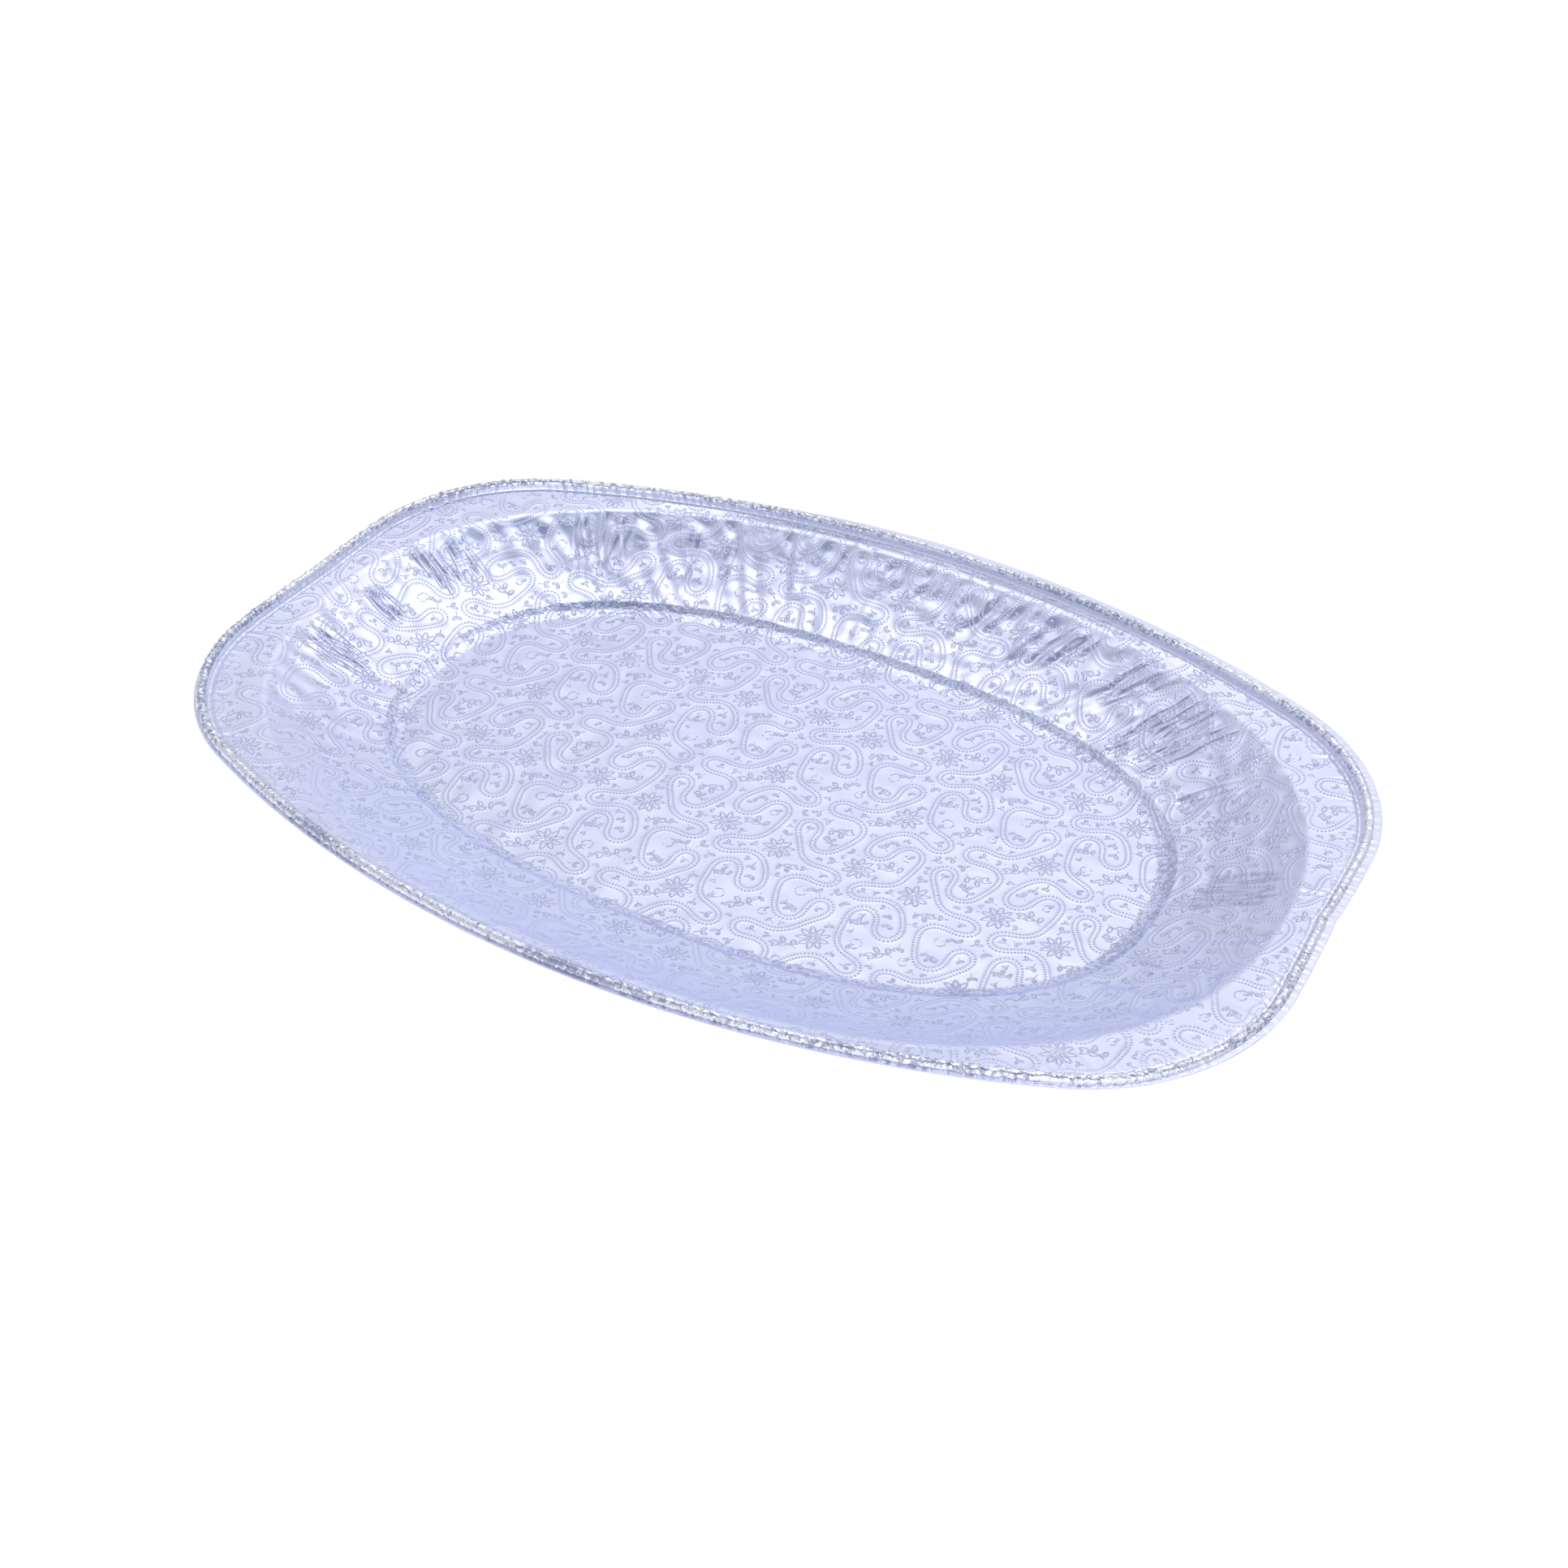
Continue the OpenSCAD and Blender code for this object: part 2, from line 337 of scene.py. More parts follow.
def profile_rows(angle, sizes):
    """Rows of (reach, height) arrays from the floor's edge outwards, and each zone's first row."""
    inset = {
        "groove": LIP_WIDTH + CURL_WIDTH,
        "flange": LIP_WIDTH + CURL_WIDTH + GROOVE_WIDTH,
        "curl": LIP_WIDTH + CURL_WIDTH / 2,
    }
    curl_radius = CURL_WIDTH / 2
    curl_height = RIM_TOP - curl_radius
    half_shoulder = sizes.shoulder / 2
    floor = oval_reach(angle, FLOOR_BOX[1].x, FLOOR_BOX[1].y, sizes.floor_squareness)
    step = oval_reach(angle, STEP_BOX[1].x, STEP_BOX[1].y, sizes.floor_squareness)
    well = oval_reach(angle, SHOULDER_BOX[1].x - half_shoulder, SHOULDER_BOX[1].y - half_shoulder,
                      sizes.well_squareness)
    top_share = 1 - half_shoulder / (well - step)

    def step_ring(share):
        """A shallow ramp up from the floor, a steep face and a crisp crest."""
        soft = sizes.step_fillet
        ramp = sizes.knee_height / sizes.step_knee
        face = (1 - sizes.knee_height) / (1 - sizes.step_knee)
        climbed = ramp * filleted(share - soft, soft)
        climbed += (face - ramp) * filleted(share - sizes.step_knee, soft)
        climbed += ramp * soft * share
        return mix(floor, step, share), mix(FOIL, STEP_TOP, climbed) + 0 * angle

    def wall(share):
        sag = sizes.wall_sag * 4 * share * (1 - share)
        return mix(step, well, share), mix(STEP_TOP, WELL_TOP, share) - sag

    def flange(share):
        edge = outline_reach(angle, inset["flange"], sizes)
        return mix(well + half_shoulder, edge, share), mix(WELL_TOP, FLANGE_TOP, share) + 0 * angle

    def curl(turn):
        reach = outline_reach(angle, inset["curl"] - curl_radius * np.cos(turn), sizes)
        return reach, curl_height + curl_radius * np.sin(turn) + 0 * angle

    def groove(share):
        drop = sizes.groove_depth
        guide = FLANGE_TOP - drop - math.sqrt(drop * (drop + curl_radius))
        middle = outline_reach(angle, inset["groove"], sizes), guide
        return bend(flange(1), middle, curl(math.pi), share)

    curl_last = curl_finish(angle, sizes)
    lip_top = curl_height + curl_radius * np.sin(curl_last)
    half_lip = sizes.lip_height / 2
    lip_start = LIP_WIDTH + curl_radius * (1 - np.cos(curl_last))

    def lip(share):
        """Out flat, round the fold, and back under the curl."""
        grown = lip_growth(angle)
        if share < FOLD_START:
            depth = mix(lip_start, half_lip, share / FOLD_START)
            height, grown = lip_top, grown * share / FOLD_START
        elif share < FOLD_END:
            turn = math.pi * (share - FOLD_START) / (FOLD_END - FOLD_START)
            depth = half_lip * (1 - math.sin(turn))
            height = lip_top - half_lip * (1 - math.cos(turn))
        else:
            depth = mix(half_lip, inset["curl"], (share - FOLD_END) / (1 - FOLD_END))
            height = mix(lip_top - 2 * half_lip, LIP_BOTTOM, smooth(FOLD_END, 1, share))
            grown = grown * (1 - share) / (1 - FOLD_END)
        return outline_reach(angle, depth, sizes) + grown, height + 0 * angle

    shapes = {
        "step": step_ring,
        "wall": lambda f: wall(top_share * f),
        "shoulder": lambda f: bend(wall(top_share), (well, WELL_TOP), flange(0), f),
        "flange": flange,
        "groove": groove,
        "curl": lambda f: curl(mix(math.pi, curl_last, f)),
        "lip": lip,
    }
    rows, first = [], {}
    for zone, count in ROWS.items():
        first[zone] = len(rows)
        rows += [shapes[zone](i / count) for i in range(count)]
    first["end"] = len(rows)
    rows.append(lip(1))
    reach = np.array([row[0] + 0 * angle for row in rows])
    height = np.array([row[1] + 0 * angle for row in rows])
    return reach, height, first


def quad_normals(points, quads):
    """Unit normal at each point, from the quads round it."""
    a, b, c, d = (points[quads[:, k]] for k in range(4))
    face = np.cross(c - a, d - b)
    total = np.zeros_like(points)
    for axis in range(3):
        for k in range(4):
            total[:, axis] += np.bincount(quads[:, k], face[:, axis], len(points))
    return total / np.maximum(np.linalg.norm(total, axis=1, keepdims=True), 1e-12)


# ---- The pattern in the foil: ribbons, sprigs, flowers and leaves in one repeat ----

RIBBON_HALF = 1.6 * MM
BEAD_ROW = 0.85
BORDER_ROW = 1.5
BEAD_PITCH = 1.22 * MM
FIELD_LIMIT = 4 * MM
RIBBON_STEPS = 260
# Each ribbon winds like a river: its share of the repeat along and across, and its swings, each as
# waves in the repeat, swing and phase in radians
RIBBONS = (
    (0.2, 0.0, ((3, 1.7, 5.5), (1, 0.7, 3.5), (7, 0.6, 4.6))),
    (0.7, 0.4, ((3, 1.7, 4.4), (1, 0.8, 2.3), (7, 0.7, 2.4))),
)

# The raised middles of a ribbon and of a leaf: the distances at which they begin and are whole, in
# millimetres, and a leaf's height beside a ribbon's
RIBBON_RISE = (1.9, 1.0)
LEAF_RISE = (0.3, -0.5)
LEAF_HEIGHT = 1.7
# How far beyond a leaf or a stem its distance is worked out
MARK_MARGIN = 1.5 * MM
# The motifs are placed on a fine grid, with some room from a ribbon and from each other. CHANCE is
# how much the choice of the widest gap is left to chance, in millimetres
SEARCH_CELL = 0.8 * MM
RIBBON_GAP = 0.3 * MM
MOTIF_GAP = 0.1 * MM
CHANCE = 0.25
# The largest size of any motif, of a sprig and of a leaf pair, and the least room for each kind
LARGEST = 6.2 * MM
LARGEST_SPRIG = 4.6 * MM
LARGEST_PAIR = 2.7 * MM
FLOWER_ROOM = 5.2 * MM
SPRIG_ROOM = 3.1 * MM
PAIR_ROOM = 1.45 * MM
FLOWERS = 3
TENDRIL_SHARE = 0.22


def ribbon_line(shape, emboss):
    """Points of one ribbon's middle over one repeat, in metres."""
    along, across, swings = shape
    t = (np.arange(RIBBON_STEPS) + 0.5) / RIBBON_STEPS
    heading = sum(swing * np.sin(FULL_TURN * waves * t + phase) for waves, swing, phase in swings)
    path = np.concatenate([[0], np.cumsum(np.exp(1j * heading))])
    path = path * (1j * emboss.repeat_wide / path[-1])
    path = path - path.mean() + 1j * emboss.repeat_wide / 2
    path = path + along * emboss.repeat_long + 1j * across * emboss.repeat_wide
    return np.stack([path.real, path.imag], axis=1)


def segment_distance(points, start, end):
    """Each point's distance from a straight piece, and how far along the piece it is nearest."""
    run = end - start
    share = np.clip(((points - start) @ run) / (run @ run), 0, 1)
    return np.linalg.norm(points - start - share[:, None] * run, axis=1), share


def leaf_distance(points, middle, angle, half_long, half_wide):
    """Signed distance to a pointed leaf, less than 0 inside."""
    local = (points - middle) @ np.array([[math.cos(angle), -math.sin(angle)],
                                          [math.sin(angle), math.cos(angle)]])
    along, across = np.abs(local[:, 0]), np.abs(local[:, 1])
    radius = (half_long ** 2 + half_wide ** 2) / (2 * half_wide)
    offset = radius - half_wide
    beyond = (along - half_long) * offset > across * half_long
    return np.where(beyond, np.hypot(along - half_long, across),
                    np.hypot(along, across + offset) - radius)


def unit(angle):
    return np.array([math.cos(angle), math.sin(angle)])


# Each motif below returns its leaves, each as (middle, angle, half length, half width), and its
# stems, each as (start, end). Their lengths are shares of the motif's size, and turns are radians

def sprig(middle, angle, size):
    """A bent stem with leaves on both sides by turns and one at its tip."""
    stem_bend, joints, foot = 0.9, 4, 0.95
    pace, half_leaf = 0.36 * size, 0.38 * size
    leaf_turn, slimness, beside, ahead = 0.9, 0.44, 1.1, 1.15
    leaves, stems = [], []
    at, heading = middle - unit(angle) * size * foot, angle - stem_bend / 2
    for k in range(joints):
        onward = at + unit(heading) * pace
        stems.append((at, onward))
        tip = heading + (leaf_turn if k % 2 else -leaf_turn)
        place = onward + unit(tip) * half_leaf * beside
        leaves.append((place, tip, half_leaf, half_leaf * slimness))
        at, heading = onward, heading + stem_bend / joints
    place = at + unit(heading) * half_leaf * ahead
    leaves.append((place, heading, half_leaf, half_leaf * slimness))
    return leaves, stems


def flower(middle, angle, size):
    """Nine petals round a small eye."""
    petals, out = 9, 0.62
    half_petal, half_width = 0.36 * size, 0.14 * size
    leaves = [(middle, 0, half_width, half_width)]
    for k in range(petals):
        turn = angle + FULL_TURN * k / petals
        leaves.append((middle + unit(turn) * out * size, turn, half_petal, half_width))
    return leaves, []


def leaf_pair(middle, angle, size):
    """Two leaves from one short stem."""
    spread, lean, out = 0.9, 0.7, 0.5
    half_leaf, half_width = 0.46 * size, 0.22 * size
    leaves = []
    for side in (-spread, spread):
        place = middle + unit(angle + side) * out * size
        leaves.append((place, angle + side * lean, half_leaf, half_width))
    return leaves, [(middle - unit(angle) * size, middle)]


def tendril(middle, angle, size):
    """A curl of stem with one leaf at its end."""
    links, curl, start_out, start_turn = 12, 0.62, 0.95, 2.0
    first_pace, last_pace = 0.42, 0.16
    leaf_out, leaf_aside, leaf_turn = 0.8, 0.2, 0.6
    half_leaf, half_width = 0.3 * size, 0.15 * size
    stems = []
    at, heading = middle + unit(angle) * size * start_out, angle + start_turn
    for k in range(links):
        pace = mix(first_pace, last_pace, k / (links - 1))
        onward = at + unit(heading) * size * pace
        stems.append((at, onward))
        at, heading = onward, heading + curl
    place = middle + unit(angle) * size * leaf_out + unit(angle + 1) * leaf_aside * size
    return [(place, angle + leaf_turn, half_leaf, half_width)], stems


def scatter_motifs(ribbons, emboss):
    """Fills the room between the ribbons, the widest gap first."""
    rng = np.random.default_rng(emboss.seed)
    repeat = np.array([emboss.repeat_long, emboss.repeat_wide])
    axes = [np.arange(0, side, SEARCH_CELL) for side in repeat]
    grid = np.stack(np.meshgrid(*axes, indexing="ij"), axis=-1).reshape(-1, 2)

    def apart(centre):
        """Distance of each place on the grid from centre, over the repeat's edges too."""
        gap = np.abs(grid - centre % repeat)
        return np.linalg.norm(np.minimum(gap, repeat - gap), axis=1)

    room = np.full(len(grid), 1.0)
    for line in ribbons:
        for point in line[::2]:
            room = np.minimum(room, apart(point) - RIBBON_HALF - RIBBON_GAP)
    leaves, stems, flowers = [], [], 0
    while room.max() > PAIR_ROOM:
        wish = np.minimum(room, LARGEST) + rng.random(len(room)) * CHANCE * MM
        best = int(np.argmax(wish))
        size, middle = min(room[best], LARGEST), grid[best]
        angle = rng.random() * FULL_TURN
        if size > FLOWER_ROOM and flowers < FLOWERS:
            made, flowers = flower(middle, angle, size), flowers + 1
        elif size > SPRIG_ROOM:
            size = min(size, LARGEST_SPRIG)
            made = (tendril if rng.random() < TENDRIL_SHARE else sprig)(middle, angle, size)
        else:
            size = min(size, LARGEST_PAIR)
            made = leaf_pair(middle, angle, size)
        leaves += made[0]
        stems += made[1]
        room = np.minimum(room, apart(middle) - size - MOTIF_GAP)
    return leaves, stems


def pattern_fields(flat, emboss):
    """For each point of the flat sheet, in millimetres: distance from a ribbon's middle, beads
    counted along it, signed distance from a leaf and distance from a stem."""
    repeat = np.array([emboss.repeat_long, emboss.repeat_wide])
    c, s = math.cos(emboss.turn), math.sin(emboss.turn)
    turned = flat @ np.array([[c, s], [-s, c]])
    tile = np.floor(turned / repeat)
    local = turned - tile * repeat
    order = np.argsort(local[:, 0], kind="stable")
    sorted_x = local[order, 0]

    def near(middle, radius):
        """Numbers of the points in a square round middle, for each repeat that it touches."""
        for i in (-1, 0, 1):
            for j in (-1, 0, 1):
                shift = np.array([i, j]) * repeat
                at = middle + shift
                if np.any(at < -radius) or np.any(at > repeat + radius):
                    continue
                low, high = np.searchsorted(sorted_x, [at[0] - radius, at[0] + radius])
                found = order[low:high]
                found = found[np.abs(local[found, 1] - at[1]) < radius]
                yield found, shift, j

    ribbon = np.full(len(flat), FIELD_LIMIT)
    beads = np.zeros(len(flat))
    leaf = np.full(len(flat), FIELD_LIMIT)
    stem = np.full(len(flat), FIELD_LIMIT)
    lines = [ribbon_line(shape, emboss) for shape in RIBBONS]
    for line in lines:
        lengths = np.linalg.norm(np.diff(line, axis=0), axis=1)
        travelled = np.concatenate([[0], np.cumsum(lengths)])
        count = round(travelled[-1] / BEAD_PITCH)
        for k, length in enumerate(lengths):
            middle = (line[k] + line[k + 1]) / 2
            base = np.floor(middle / repeat)
            home = base * repeat
            for found, shift, j in near(middle - home, FIELD_LIMIT):
                start, end = line[k] - home + shift, line[k + 1] - home + shift
                distance, share = segment_distance(local[found], start, end)
                closer = distance < ribbon[found]
                found, share = found[closer], share[closer]
                ribbon[found] = distance[closer]
                part = (travelled[k] + share * length) / travelled[-1]
                beads[found] = count * (part + tile[found, 1] + j - base[1])
    leaves, stems = scatter_motifs(lines, emboss)
    for middle, angle, half_long, half_wide in leaves:
        home = np.floor(middle / repeat) * repeat
        for found, shift, _ in near(middle - home, half_long + MARK_MARGIN):
            place = middle - home + shift
            distance = leaf_distance(local[found], place, angle, half_long, half_wide)
            leaf[found] = np.minimum(leaf[found], distance)
    for start, end in stems:
        middle = (start + end) / 2
        home = np.floor(middle / repeat) * repeat
        radius = np.linalg.norm(end - start) / 2 + MARK_MARGIN
        for found, shift, _ in near(middle - home, radius):
            ends = start - home + shift, end - home + shift
            distance, _ = segment_distance(local[found], *ends)
            stem[found] = np.minimum(stem[found], distance)
    return ribbon / MM, beads, leaf / MM, stem / MM


# ---- Folds, flutes and dents ----

# Groups of pinched folds up the wall: middle direction and spread in degrees, how many,
# where they start and end as shares of the wall, their width, their depth beside fold_depth,
# and how far they lean from the straight way up, in millimetres
FOLD_GROUPS = (
    (146.5, 7.5, 10, 0.05, 1.02, 0.72, 1.25, 11.0),
    (155.0, 3.0, 3, 0.60, 1.02, 0.90, 0.7, 6.0),
    (133.0, 1.6, 2, 0.05, 1.02, 0.90, 1.0, 9.0),
    (127.0, 1.8, 2, 0.20, 1.02, 0.95, 1.0, 9.0),
    (111.0, 9.0, 3, 0.55, 1.02, 2.20, 0.9, 5.0),
    (94.0, 11.0, 3, 0.50, 1.02, 2.60, 1.0, 5.0),
    (77.0, 11.0, 3, 0.40, 1.02, 2.80, 1.2, 5.0),
    (61.0, 10.0, 4, 0.35, 1.02, 2.20, 1.1, 3.0),
    (47.0, 6.0, 5, 0.30, 1.02, 1.30, 0.9, 1.0),
    (36.0, 9.0, 12, 0.00, 0.98, 0.80, 0.8, -4.0),
    (22.0, 7.0, 6, 0.05, 0.75, 0.85, 0.5, -2.0),
    (5.5, 6.0, 8, 0.05, 0.90, 0.80, 1.0, 0.0),
    (-11.0, 2.0, 2, 0.10, 0.45, 0.80, 0.9, 0.0),
    (-27.0, 0.8, 1, 0.93, 1.03, 0.70, 0.7, 0.0),
    (-150.5, 3.0, 3, 0.35, 0.80, 0.80, 0.45, 0.0),
    (-171.5, 5.0, 6, 0.15, 0.95, 0.90, 1.2, 1.0),
    (177.5, 3.0, 4, 0.30, 0.98, 0.90, 1.1, 2.0),
    (166.0, 8.0, 6, 0.30, 1.02, 0.95, 1.1, 4.0),
)
# Folds that cross the flat rim: direction in degrees, width and depth beside fold_depth
RIM_FOLDS = ((4.5, 0.7, 0.9), (161.0, 0.8, 0.5), (-168.0, 0.8, 0.5), (-30.0, 0.9, 0.5))
# Places where the edge was knocked in: direction in degrees, width and depth
KNOCKS = ((0.0, 16 * MM, 0.5 * MM), (0.6, 3 * MM, 0.55 * MM), (-168.5, 3.5 * MM, 0.4 * MM),
          (161.7, 3 * MM, 0.4 * MM), (180.0, 18 * MM, 0.5 * MM))

# What chance does to each fold of a group: it moves within its share of the spread, leans more or
# less in millimetres, starts higher, ends lower, and is wider and deeper by some factor
PLACE_CHANCE = 0.25
LEAN_CHANCE = 1.6
START_CHANCE = 0.18
END_CHANCE = 0.12
WIDTH_CHANCE = (0.8, 1.25)
DEPTH_CHANCE = (0.55, 1.15)
# How far a fold wavers as it climbs, and how fast
KINK = 0.5 * MM
KINK_PACE = 13
# How far round the tray and up the wall a fold is worked out, in radians and shares of the wall
FOLD_WINDOW = 0.12
CLIMB_MARGIN = 0.1
# Where a fold sets in and is whole, counted from its start and from its end, as shares of the wall
START_EASE = (-0.02, 0.14)
END_EASE = (0.03, -0.08)
# The ridge beside a fold: its distance in widths, and its height beside the fold's depth
RIDGE_OFF = 1.5
WALL_RIDGE = 0.65
RIM_RIDGE = 0.5
# Distance from a fold of the middle of its shade, in widths
SHADE_OFF = 0.6
# Where the rim's folds set in and are whole, by the wall's share and by the rim's share less 1
RIM_FOLD_START = (0.97, 1.03)
RIM_FOLD_END = (0.02, -0.02)

# The third number of crease_way grows by this much from the foot of the wall to its top, while the
# other two run round a circle of radius 1
CREASE_SLIP = 0.035
# Where the sheet is nearer the middle than this, its creases lean as if it were this far out
LEAST_REACH = 50 * MM

# How lively the sheet is: fully at the far side and the left end, RIGHT_SHARE at the right end and
# CALM_SHARE elsewhere. Each pair is where that sets in and is whole, by the direction's sine for
# the far side and by the size of its cosine for the ends
FAR_SIDE = (0.0, 0.45)
LEFT_END = (0.75, 0.98)
RIGHT_END = (0.85, 0.99)
RIGHT_SHARE = 0.8
CALM_SHARE = 0.12
# Where the flutes and buckles set in and are whole, at the foot and at the top of the wall
WALL_FOOT = (-0.02, 0.1)
WALL_HEAD = (1.04, 0.9)
# Slowest and fastest swings round the tray of the flutes and of the curl's wrinkles, and how many
# of them are drawn
FOOT_FLUTES = (26, 120)
HEAD_FLUTES = (26, 150)
WRINKLES = (180, 560)
SWINGS = 26
# Shortest and longest waves of the dents and of the buckles, and how many waves make the buckles
DENTS = (9 * MM, 45 * MM)
BUCKLES = (8 * MM, 22 * MM)
BUCKLE_WAVES = 24


def turn_from(angle, degrees):
    """Signed turn from a direction given in degrees to each angle."""
    return (angle - math.radians(degrees) + math.pi) % FULL_TURN - math.pi


def ripple(angle, slowest, fastest, rng):
    """A smooth wave of about unit height round the tray, with that many swings a turn."""
    swings = np.unique(rng.integers(slowest, fastest, SWINGS))
    phase = rng.random(len(swings)) * FULL_TURN
    waves = np.cos(np.outer(angle, swings) + phase)
    return waves.sum(axis=1) / math.sqrt(len(swings) / 2)


def soft_dents(flat, shortest, longest, rng, count=16):
    """Soft hills and hollows of about unit height over the flat sheet."""
    total = np.zeros(len(flat))
    for _ in range(count):
        length = math.exp(rng.uniform(math.log(shortest), math.log(longest)))
        way = unit(rng.random() * FULL_TURN) * FULL_TURN / length
        total += np.cos(flat @ way + rng.random() * FULL_TURN)
    return total / math.sqrt(count / 2)


def leaning(lean, climb):
    """How far aside a fold is as it climbs, where lean is in millimetres."""
    return lean * MM * (climb - 0.5) * 2


def fold_shape(x, ridge):
    """A fold with a ridge beside it, at x widths from the fold."""
    return np.exp(-x ** 2) - ridge * np.exp(-(x - RIDGE_OFF) ** 2)


def pinched_folds(sheet, folds):
    """Height of the pinched folds, and a mask of where they are, which also sets their creases and
    the painted shade beside each fold.
    """
    rng = np.random.default_rng(folds.seed)
    height = np.zeros(len(sheet["angle"]))
    pinch = np.zeros(len(height))
    for direction, spread, count, start, end, width, depth, group_lean in FOLD_GROUPS:
        for k in range(count):
            place = (k + 0.5) / count - 0.5 + rng.uniform(-PLACE_CHANCE, PLACE_CHANCE) / count
            middle = direction + spread * place
            lean = group_lean + rng.uniform(-LEAN_CHANCE, LEAN_CHANCE)
            low = start + rng.uniform(0, START_CHANCE)
            high = end - rng.uniform(0, END_CHANCE)
            wide = width * MM * rng.uniform(*WIDTH_CHANCE)
            deep = depth * folds.fold_depth * rng.uniform(*DEPTH_CHANCE)
            kink = rng.uniform(0, FULL_TURN)
            beside = np.abs(turn_from(sheet["angle"], middle)) < FOLD_WINDOW
            above = sheet["climb"] > low - CLIMB_MARGIN
            below = sheet["climb"] < high + CLIMB_MARGIN
            found = np.nonzero(beside & above & below)[0]
            climb = sheet["climb"][found]
            across = turn_from(sheet["angle"][found], middle) * sheet["reach"][found]
            across = across + leaning(lean, climb)
            across = across + KINK * np.sin(KINK_PACE * climb + kink)
            x = across / wide
            length = smooth(low + START_EASE[0], low + START_EASE[1], climb)
            length = length * smooth(high + END_EASE[0], high + END_EASE[1], climb)
            height[found] -= deep * fold_shape(x, WALL_RIDGE) * length
            # Painted shade beside the fold, by which the material darkens the foil's colour
            shade = np.exp(-(x - SHADE_OFF) ** 2 / 2) * length * min(1 / width, 1)
            pinch[found] = np.maximum(pinch[found], shade)
    for direction, width, depth in RIM_FOLDS:
        x = turn_from(sheet["angle"], direction) * sheet["reach"] / (width * MM)
        length = smooth(*RIM_FOLD_START, sheet["climb"]) * smooth(*RIM_FOLD_END, sheet["rim"] - 1)
        height -= depth * folds.fold_depth * fold_shape(x, RIM_RIDGE) * length
    return height, pinch


def crease_way(sheet):
    """Three numbers that hardly change along a fold, so that creases drawn from them follow it."""
    groups = sorted(FOLD_GROUPS)
    directions = [group[0] for group in groups]
    angle = turn_from(sheet["angle"], 0)
    lean = np.interp(np.degrees(angle), directions, [group[-1] for group in groups])
    angle = angle + leaning(lean, sheet["climb"]) / np.maximum(sheet["reach"], LEAST_REACH)
    return np.stack([np.cos(angle), np.sin(angle), CREASE_SLIP * sheet["climb"]], axis=1)


def handled_surface(sheet, flat, folds):
    """Everything that pressing and handling did to the sheet, as a height along its normal."""
    rng = np.random.default_rng(folds.seed + 1)
    angle, climb, station = sheet["station_angle"], sheet["climb"], sheet["station"]
    low_wave = ripple(angle, *FOOT_FLUTES, rng)
    high_wave = ripple(angle, *HEAD_FLUTES, rng)
    far = smooth(*FAR_SIDE, np.sin(angle))
    left = smooth(*LEFT_END, -np.cos(angle))
    right = RIGHT_SHARE * smooth(*RIGHT_END, np.cos(angle))
    calm = np.full(len(angle), CALM_SHARE)
    lively = np.maximum.reduce([far, left, right, calm])[station]
    on_wall = smooth(*WALL_FOOT, climb) * smooth(*WALL_HEAD, climb)
    wave = mix(low_wave[station], high_wave[station], np.clip(climb, 0, 1))
    height = folds.flute_depth * ((wave * lively) * on_wall)
    height += folds.dent_depth * soft_dents(flat, *DENTS, rng) * sheet["dented"]
    buckles = soft_dents(flat, *BUCKLES, rng, BUCKLE_WAVES)
    height += folds.buckle_depth * buckles * lively * on_wall
    crush_a = ripple(angle, *WRINKLES, rng)
    crush_b = ripple(angle, *WRINKLES, rng)
    turn = sheet["curl_turn"]
    crush = crush_a[station] * np.cos(turn) + crush_b[station] * np.sin(turn)
    height += folds.curl_wrinkle * crush * sheet["crushed"]
    creases, pinch = pinched_folds(sheet, folds)
    return height + creases, pinch


# ---- Pressing the sheet ----

# How much each zone takes of the raised pattern, of the soft dents and of the curl's wrinkles
ZONES = {
    "floor": dict(imprint=1.0, dented=2.2, crushed=0.0),
    "step": dict(imprint=1.0, dented=1.6, crushed=0.0),
    "wall": dict(imprint=1.0, dented=1.0, crushed=0.0),
    "shoulder": dict(imprint=0.6, dented=0.8, crushed=0.0),
    "flange": dict(imprint=1.0, dented=0.9, crushed=0.0),
    "groove": dict(imprint=0.25, dented=0.5, crushed=0.55),
    "curl": dict(imprint=0.5, dented=0.4, crushed=1.2),
    "lip": dict(imprint=0.1, dented=0.5, crushed=0.08),
}

# Shares of the rim's width at which a knock in the edge sets in and is whole
KNOCK_REACH = (0.2, 1.0)


def zone_values(name, first, rows):
    """A value for every row, eased from each zone's own value to the next one's."""
    zones = list(ROWS)
    middles = [(first[z] + first[z] + ROWS[z]) / 2 for z in zones]
    return np.interp(np.arange(rows), middles, [ZONES[z][name] for z in zones])


